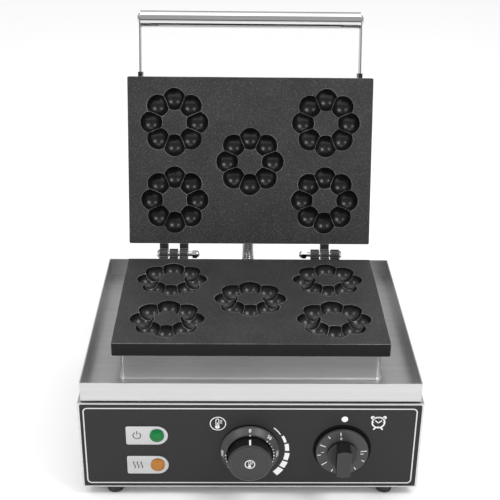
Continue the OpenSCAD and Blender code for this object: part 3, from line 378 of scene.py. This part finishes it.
FINISHES = {
    "tray_steel": ["drip_tray"],
    "shell_steel": ["body_shell", "bottom_plate"],
    "cover_steel": ["upper_cover"],
    "skirt_steel": ["plate_skirt"],
    "panel_silver": ["front_panel"],
    "strip_steel": ["left_handle_arm", "right_handle_arm"],
    "overlay_black": ["panel_overlay"],
    "lower_coating": ["lower_plate"],
    "upper_coating": ["upper_plate"],
    "heater_tube": ["lower_heater", "upper_heater"],
    "zinc": ["lower_clamp_plate", "upper_clamp_plate", "lower_pillars", "bar_plugs"],
    "wool": ["lower_insulation", "upper_insulation"],
    "glass_braid": ["lid_leads"],
    "bright_plate": ["bottom_screws", "foot_screws", "pillar_screws", "switch_screws", "right_cap_nut",
                     "left_cap_nut", "cover_screws", "clip_screws", "handle_bolts", "body_gland", "lid_gland",
                     "thermostat_shaft", "timer_shaft", "right_hinge_bolt", "left_hinge_bolt"],
    "bar_chrome": ["handle_bar"],
    "rubber": ["rubber_feet"],
    "silicone": ["tray_grommets"],
    "copper": ["thermostat_sensor"],
    "brass": ["earth_stud"],
    "phenolic": ["thermostat_body"],
    "nylon": ["timer_body", "lamp_bodies", "terminal_block"],
    "grip_black": ["temperature_grip"],
    "bar_black": ["timer_grip"],
    "bezel_grey": ["temperature_bezel"],
    "dial_grey": ["timer_dial"],
    "clip_black": ["left_handle_clip", "right_handle_clip", "inlet_gland", "inlet_nut"],
    "label_foil": ["power_label", "heat_label"],
    "green_lens": ["power_lens"],
    "amber_lens": ["heat_lens"],
    "brown_wire": ["live_wires"],
    "blue_wire": ["neutral_wires"],
    "green_wire": ["earth_wire"],
}


def dress_nodes():
    for look, names in FINISHES.items():
        for name in names:
            slots = NODES[name].data.materials
            slots.clear()
            slots.append(LOOKS[look])


def soften(names, width_mm, segments=2, angle=32):
    """Small rounded edges on CAD nodes, added as modifiers so that their meshes stay as they are."""
    for name in names:
        piece = NODES[name]
        weld = piece.modifiers.new("weld", "WELD")
        weld.merge_threshold = 0.002 * MM
        bevel = piece.modifiers.new("bevel", "BEVEL")
        bevel.width = width_mm * MM
        bevel.segments = segments
        bevel.limit_method = "ANGLE"
        bevel.angle_limit = math.radians(angle)
        bevel.harden_normals = False
        bevel.use_clamp_overlap = True
        piece.modifiers.new("normals", "WEIGHTED_NORMAL").keep_sharp = True


dress_nodes()


# Printed marks ------------------------------------------------------------------------------

def panel_place(x, z, out):
    """Maps sizes in millimetres on the front panel to the frame: right, up and towards the cook."""
    return lambda u, v, w: Vector(((x + u) * MM, FRONT_Y - (out + w) * MM, BOTTOM_Z + (z + v) * MM))


def dial_place(x, z, out, angle):
    """The same, turned clockwise about a knob's axis so that up is away from the axis."""
    turn = math.radians(angle)
    flat = panel_place(x, z, out)

    def place(u, v, w):
        return flat(u * math.cos(turn) + v * math.sin(turn), v * math.cos(turn) - u * math.sin(turn), w)
    return place


def circle(x, y, radius, count=36, start=0.0, sweep=360.0):
    closed = 0 if sweep == 360.0 else 1
    angles = [math.radians(start + sweep * i / (count - closed)) for i in range(count)]
    return [(x + radius * math.cos(a), y + radius * math.sin(a)) for a in angles]


def disc(x, y, radius):
    return circle(x, y, radius), None


def ring(x, y, radius, width):
    return circle(x, y, radius), circle(x, y, radius - width)


def bar(x0, y0, x1, y1, width):
    run = Vector((x1 - x0, y1 - y0)).normalized() * (width / 2)
    side = (-run.y, run.x)
    return [(x0 + side[0], y0 + side[1]), (x0 - side[0], y0 - side[1]),
            (x1 - side[0], y1 - side[1]), (x1 + side[0], y1 + side[1])], None


def rounded_outline(half_w, half_h, radius, count=9):
    points = []
    for sx, sy, start in ((1, 1, 0), (-1, 1, 90), (-1, -1, 180), (1, -1, 270)):
        points += circle(sx * (half_w - radius), sy * (half_h - radius), radius, count, start, 90.0)
    return points


def rounded_frame(half_w, half_h, radius, width):
    return (rounded_outline(half_w, half_h, radius),
            rounded_outline(half_w - width, half_h - width, radius - width))


def link_mesh(name, mesh, look):
    piece = bpy.data.objects.new(name, mesh)
    bpy.context.scene.collection.objects.link(piece)
    mesh.materials.clear()
    mesh.materials.append(LOOKS[look])
    return piece


def printed(name, shapes, place, look, body, slot, thickness=0.06):
    """Raised flat marks from outlines; an outline with an inner loop of as many points is a ring."""
    form = bmesh.new()
    for outer, inner in shapes:
        top = [form.verts.new(place(u, v, thickness)) for u, v in outer]
        foot = [form.verts.new(place(u, v, 0)) for u, v in outer]
        count = len(outer)
        steps = [(i, (i + 1) % count) for i in range(count)]
        for i, j in steps:
            form.faces.new((foot[i], foot[j], top[j], top[i]))
        if inner is None:
            form.faces.new(top)
            form.faces.new(foot)
            continue
        inner_top = [form.verts.new(place(u, v, thickness)) for u, v in inner]
        inner_foot = [form.verts.new(place(u, v, 0)) for u, v in inner]
        for i, j in steps:
            form.faces.new((top[i], top[j], inner_top[j], inner_top[i]))
            form.faces.new((inner_top[i], inner_top[j], inner_foot[j], inner_foot[i]))
            form.faces.new((inner_foot[i], inner_foot[j], foot[j], foot[i]))
    bmesh.ops.recalc_face_normals(form, faces=form.faces)
    mesh = bpy.data.meshes.new(name)
    form.to_mesh(mesh)
    form.free()
    piece = link_mesh(name, mesh, look)
    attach(piece, body)
    return piece


def numeral(name, text, size_mm, place, look, body, slot):
    """A number set in the built-in type, turned into a thin mesh and laid on the surface."""
    curve = bpy.data.curves.new(name, "FONT")
    curve.body = text
    curve.size = size_mm
    curve.align_x = "CENTER"
    curve.align_y = "CENTER"
    curve.extrude = 0.03
    curve.offset = 0.06
    curve.resolution_u = 3
    draft = bpy.data.objects.new("draft", curve)
    bpy.context.scene.collection.objects.link(draft)
    bpy.context.view_layer.update()
    mesh = bpy.data.meshes.new_from_object(draft.evaluated_get(bpy.context.evaluated_depsgraph_get()))
    bpy.data.objects.remove(draft)
    for vertex in mesh.vertices:
        vertex.co = place(vertex.co.x, vertex.co.y, vertex.co.z + 0.03)
    mesh.name = name
    piece = link_mesh(name, mesh, look)
    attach(piece, body)
    return piece


def thermometer(x, y, height):
    """A small upright thermometer: outlined tube, a thread of liquid, a full bulb and graduations."""
    bulb = height * 0.19
    foot = y - height / 2 + bulb
    tube = height * 0.15
    bore = tube * 0.62
    top = y + height / 2 - tube
    outside = circle(x, top, tube, 13, 0, 180) + [(x - tube, foot + bulb), (x + tube, foot + bulb)]
    inside = circle(x, top, bore, 13, 0, 180) + [(x - bore, foot + bulb), (x + bore, foot + bulb)]
    marks = [bar(x + tube * 1.5, y + step * height, x + tube * 2.6, y + step * height, height * 0.055)
             for step in (0.05, 0.18, 0.31)]
    return [disc(x, foot, bulb), (outside, inside), bar(x, foot, x, y + height * 0.1, tube * 0.5)] + marks


def alarm_clock():
    """A round clock with two bells, two feet and its hands at ten past ten."""
    shapes = [ring(0, 0, 7.4, 1.5)]
    for side in (-1, 1):
        shapes.append(disc(side * 6.4, 6.2, 2.1))
        shapes.append(bar(side * 3.0, -7.0, side * 5.0, -9.2, 1.6))
        shapes.append(bar(side * 6.4, 6.2, side * 4.6, 4.6, 1.5))
        shapes.append(bar(0, -0.6, side * 3.6, 2.6, 1.1))
        shapes.append(bar(side * 6.2, 0, side * 4.8, 0, 0.9))
    for y0, y1 in ((7.6, 5.0), (-6.2, -4.8)):
        shapes.append(bar(0, y0, 0, y1, 0.9))
    return shapes


def growing_blocks():
    """The heat scale beside the knob: six blocks that widen clockwise from a thin wedge."""
    shapes = []
    inner = 38.3
    spans = ((41, 58, 1.2), (62, 75, 3.0), (78, 91, 4.4), (95, 108, 5.2), (111, 122, 6.3), (125, 138, 6.9))
    for start, end, width in spans:
        steps = 6
        angles = [math.radians(start + (end - start) * i / steps) for i in range(steps + 1)]
        far = [(math.sin(a) * (inner + width), math.cos(a) * (inner + width)) for a in angles]
        near = [(math.sin(a) * inner, math.cos(a) * inner) for a in reversed(angles)]
        shapes.append((far + near, None))
    return shapes


def print_panel():
    mark = dict(look="white_ink", body="base", slot="label_metal")
    face = OVERLAY_FACE
    printed("panel_border", [rounded_frame(178.2, 49.4, 5, 1.3)], panel_place(-0.6, 55, face),
            "silver_ink", "base", "label_metal")
    printed("heat_symbol", [ring(0, 0, 8.7, 0.9)] + thermometer(-0.6, 0, 13),
            panel_place(-35.3, 84.7, face), **mark)
    printed("start_dot", [disc(0, 0, 3.5)], panel_place(100.2, 90.7, face), **mark)
    printed("clock_symbol", alarm_clock(), panel_place(136.4, 86.6, face), **mark)
    printed("heat_scale", growing_blocks(), panel_place(TEMPERATURE_X, KNOB_Z, face), **mark)
    # Painted shadow: a near-black ring round each knob, set 2 mm high so that it shows as a dark crescent
    # above the knob.
    for name, x in (("temperature_shadow_ring", TEMPERATURE_X), ("timer_shadow_ring", TIMER_X)):
        printed(name, [ring(0, 2, 31.6, 9)], panel_place(x, KNOB_Z, face),
                "shadow_black", "base", "black_overlay")


def print_labels():
    """Plain signs at the round lamps: a power sign on one label, rising heat on the other."""
    ink = dict(look="label_ink", body="base", slot="black_overlay")
    centre = LAMP_X - 21.5
    open_ring = (circle(0, 0, 4.6, 25, 120, 300), circle(0, 0, 3.6, 25, 120, 300))
    strip = [(open_ring[0] + open_ring[1][::-1], None), bar(0, 1.2, 0, 5.6, 1.1)]
    printed("power_sign", strip, panel_place(centre, POWER_LAMP_Z, LABEL_FACE), **ink)
    waves = []
    for x in (-4, 0, 4):
        spine = [(x + 0.9 * math.sin(step * math.pi / 6), -4.6 + step * 9.2 / 12) for step in range(13)]
        left = [(px - 0.55, py) for px, py in spine]
        right = [(px + 0.55, py) for px, py in reversed(spine)]
        waves.append((left + right, None))
    printed("heat_sign", waves, panel_place(centre, HEAT_LAMP_Z, LABEL_FACE), **ink)


def bezel_place(angle):
    """On the sloping face of the scale ring: up runs outwards and down the slope, towards the panel."""
    turn = math.radians(angle)
    outer_r, inner_r, outer_out, inner_out = 32.0, 27.0, BEZEL_FOOT, BEZEL_TOP
    slope = Vector((outer_r - inner_r, outer_out - inner_out))
    down = slope.normalized()
    normal = Vector((-down.y, down.x))
    mid_r, mid_out = (outer_r + inner_r) / 2, (outer_out + inner_out) / 2
    flat = panel_place(TEMPERATURE_X, KNOB_Z, 0)

    def place(u, v, w):
        bend = turn + u / mid_r
        radius = mid_r + v * down.x + w * normal.x
        out = mid_out + v * down.y + w * normal.y
        return flat(radius * math.sin(bend), radius * math.cos(bend), out)
    return place


def print_scales():
    ink = dict(look="white_ink", body="base", slot="label_metal")
    for step in range(7):
        numeral(f"temperature_{50 * step}", str(50 * step), 5.6, bezel_place(45 * step), **ink)
    dots = []
    for step in (0, *range(5, 31)):
        turn = math.radians(9 * step)
        size = 0.6 if step % 5 else 0.85
        dots.append(disc(26 * math.sin(turn), 26 * math.cos(turn), size))
    printed("temperature_dots", dots, panel_place(TEMPERATURE_X, KNOB_Z, BEZEL_TOP), **ink)


def print_knobs():
    grip = dict(look="white_ink", body="temperature_knob", slot="label_metal")
    grip_face = -(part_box("temperature_grip")[0].y - FRONT_Y) / MM
    printed("grip_symbol", [ring(0, 0, 5.6, 0.9)] + thermometer(-0.4, 0, 8.4),
            panel_place(TEMPERATURE_X, KNOB_Z, grip_face), **grip)
    grip_r = (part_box("temperature_grip")[1].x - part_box("temperature_grip")[0].x) / 2 / MM
    top = BOTTOM_Z + (KNOB_Z + grip_r) * MM

    def on_top(u, v, w):
        return Vector(((TEMPERATURE_X + u) * MM, FRONT_Y - (grip_face - 2 - v) * MM, top + (w - 0.04) * MM))
    printed("grip_pointer", [bar(0, 0, 0, 9.5, 1.9)], on_top, **grip)
    dial = dict(look="white_ink", body="timer_knob", slot="label_metal")
    for step in range(10):
        long = step in (0, 2, 4, 9)
        place = dial_place(TIMER_X, KNOB_Z, DIAL_FACE, -6 - 30 * step)
        start = 22.8 if step == 0 else 20 if long else 23.4
        printed(f"timer_mark_{step}", [bar(0, start, 0, 26.8, 0.95)], place, **dial)
        if step % 3 == 0:
            number_r = 18.9 if step == 0 else 21

            def place_number(u, v, w, base=place, out=number_r, aside=0 if step == 0 else 3.2):
                return base(u + aside, v + out, w)
            numeral(f"timer_number_{step // 3}", str(step // 3), 4.4, place_number, **dial)


print_panel()
print_labels()
print_scales()
print_knobs()


# Conduit ------------------------------------------------------------------------------------

def make_conduit():
    """Corrugated steel hose along the CAD node's bend, from the skirt's gland into the lid's."""
    low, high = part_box("conduit")
    radius = (high.x - low.x) / 2
    turn = math.pi / 2 - LEAN
    start = Vector(((low.x + high.x) / 2, low.y, low.z + radius))
    rise = high.z - radius * math.cos(turn) - start.z
    bend = rise / (1 - math.cos(turn))
    centre = start + Vector((0, 0, bend))
    length = bend * turn
    pitch, groove, around = 2.9 * MM, 0.8 * MM, 48
    rings = int(length / pitch * 10)
    form = bmesh.new()
    loops = []
    for i in range(rings + 1):
        angle = turn * i / rings
        wave = math.cos(2 * math.pi * length * i / rings / pitch)
        tube = radius - 0.02 * MM - groove * (0.5 - 0.5 * wave) ** 1.6
        outward = Vector((0, math.sin(angle), -math.cos(angle)))
        middle = centre + outward * bend
        spokes = [math.radians(360 * k / around) for k in range(around)]
        loops.append([form.verts.new(middle + tube * (Vector((math.cos(a), 0, 0)) + outward * math.sin(a)))
                      for a in spokes])
    for here, there in zip(loops, loops[1:]):
        for k in range(around):
            after = (k + 1) % around
            form.faces.new((here[k], here[after], there[after], there[k]))
    form.faces.new(loops[0])
    form.faces.new(loops[-1])
    bmesh.ops.recalc_face_normals(form, faces=form.faces)
    for face in form.faces:
        face.smooth = True
    mesh = bpy.data.meshes.new("corrugated_hose")
    form.to_mesh(mesh)
    form.free()
    hose = link_mesh("corrugated_hose", mesh, "hose_steel")
    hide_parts("conduit")
    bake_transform(hose)


make_conduit()


# Edges --------------------------------------------------------------------------------------

# The upper plate keeps its CAD edges: a bevel on it is squeezed to nothing and leaves empty faces.
soften(["lower_plate"], 0.45, 3)
soften(["front_panel", "body_shell", "drip_tray", "upper_cover", "plate_skirt"], 0.3, 2)
soften(["temperature_bezel", "temperature_grip", "timer_dial", "timer_grip"], 0.5, 3)
soften(["left_handle_clip", "right_handle_clip"], 0.3, 2)
soften(["left_cap_nut", "right_cap_nut", "body_gland", "lid_gland", "inlet_gland"], 0.3, 2)


# Studio ---------------------------------------------------------------------------------------

def make_floor():
    mesh = bpy.data.meshes.new("floor")
    reach = 12
    mesh.from_pydata([(-reach, -reach, 0), (reach, -reach, 0), (reach, reach, 0), (-reach, reach, 0)], [],
                     [(0, 1, 2, 3)])
    floor = bpy.data.objects.new("floor", mesh)
    bpy.context.scene.collection.objects.link(floor)
    shade = Shade("floor", Roughness=0.9, Specular_IOR_Level=0.0)
    shade.shader.inputs["Base Color"].default_value = (0.90, 0.90, 0.90, 1)
    mesh.materials.append(shade.material)


def add_light(name, place, target, size, energy):
    data = bpy.data.lights.new(name, "AREA")
    data.shape = "RECTANGLE"
    data.size = size
    data.size_y = size
    data.energy = energy
    light = bpy.data.objects.new(name, data)
    light.location = place
    aim = Vector(target) - Vector(place)
    light.rotation_euler = aim.to_track_quat("-Z", "Y").to_euler()
    light.visible_camera = False
    bpy.context.scene.collection.objects.link(light)


def make_world():
    """Even light on everything; for reflections, a bright ceiling between grey walls and a dark horizon."""
    world = bpy.data.worlds.new("studio")
    bpy.context.scene.world = world
    world.use_nodes = True
    tree = world.node_tree
    tree.nodes.clear()

    def add(kind, **settings):
        made = tree.nodes.new(kind)
        for key, value in settings.items():
            setattr(made, key, value)
        return made
    output = add("ShaderNodeOutputWorld")
    back = add("ShaderNodeBackground")
    plain = add("ShaderNodeBackground")
    plain.inputs["Color"].default_value = (1, 1, 1, 1)
    plain.inputs["Strength"].default_value = 0.98
    mix = add("ShaderNodeMixShader")
    path = add("ShaderNodeLightPath")
    direction = add("ShaderNodeTexCoord")
    split = add("ShaderNodeSeparateXYZ")
    forward = add("ShaderNodeMath", operation="MULTIPLY")
    forward.inputs[1].default_value = -1
    lift = add("ShaderNodeMath", operation="ARCTAN2")
    share = add("ShaderNodeMath", operation="DIVIDE")
    share.inputs[1].default_value = math.pi
    room = add("ShaderNodeValToRGB")
    stops = room.color_ramp.elements
    stops[0].position, stops[0].color = 0.0, (0.10, 0.10, 0.10, 1)
    stops[1].position, stops[1].color = 1.0, (0.36, 0.36, 0.36, 1)
    for position, level in ((0.02, 0.10), (0.05, 0.5), (0.40, 0.5), (0.44, 1.0), (0.72, 1.0), (0.80, 0.48)):
        stops.new(position).color = (level, level, level, 1)
    tree.links.new(direction.outputs["Generated"], split.inputs["Vector"])
    tree.links.new(split.outputs["Y"], forward.inputs[0])
    tree.links.new(split.outputs["Z"], lift.inputs[0])
    tree.links.new(forward.outputs["Value"], lift.inputs[1])
    tree.links.new(lift.outputs["Value"], share.inputs[0])
    tree.links.new(share.outputs["Value"], room.inputs["Fac"])
    tree.links.new(room.outputs["Color"], back.inputs["Color"])
    tree.links.new(path.outputs["Is Glossy Ray"], mix.inputs["Fac"])
    tree.links.new(plain.outputs["Background"], mix.inputs[1])
    tree.links.new(back.outputs["Background"], mix.inputs[2])
    tree.links.new(mix.outputs["Shader"], output.inputs["Surface"])


make_floor()
make_world()
add_light("key", (0.95, -0.75, 1.55), (0, 0, 0.15), 0.6, 13)
add_light("second", (-1.05, -0.75, 1.5), (0, 0, 0.15), 0.5, 6)
add_light("overhead", (0, 0.2, 2.0), (0, 0, 0.2), 1.2, 6)
bpy.context.scene.view_settings.view_transform = "Standard"
